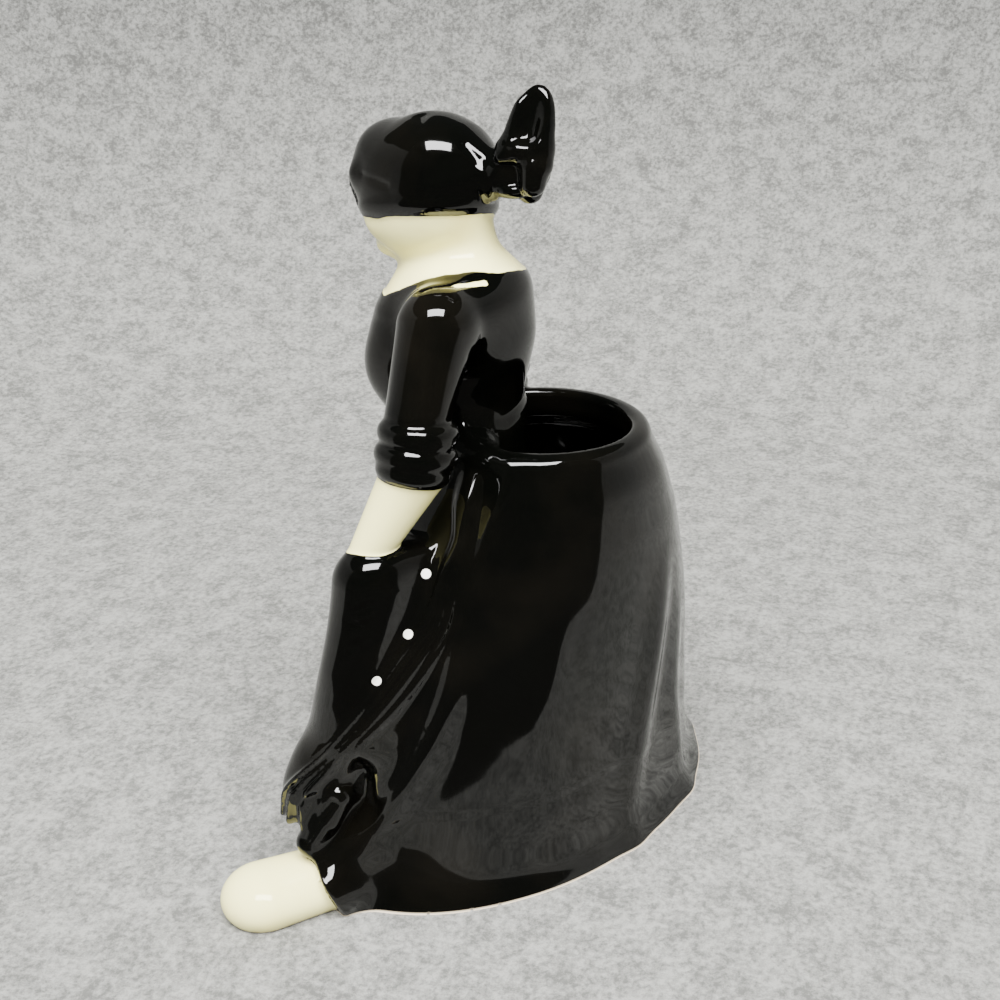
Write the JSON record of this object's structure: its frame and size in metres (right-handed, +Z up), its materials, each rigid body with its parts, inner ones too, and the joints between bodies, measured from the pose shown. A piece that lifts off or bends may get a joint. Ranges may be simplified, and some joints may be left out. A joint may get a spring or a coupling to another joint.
{
  "type": "ceramic figural planter",
  "caption": "Glazed ceramic planter: a lady in a kerchief lifts her wide skirt, which is hollow and open behind the waist to hold a plant.",
  "frame": {"origin": "middle of the box, on the underside", "axes": "+Z up through the head, -Y the way her bodice faces, +X towards her left hand"},
  "size_m": [0.2172, 0.1482, 0.2915],
  "materials": {
    "black_glaze": "gloss black glaze over the dress and kerchief, gloss ivory glaze on the skin and the foot, small ivory dots on the lifted skirt"
  },
  "bodies": {
    "root": {"lady_planter": "black_glaze"}
  },
  "joints": []
}
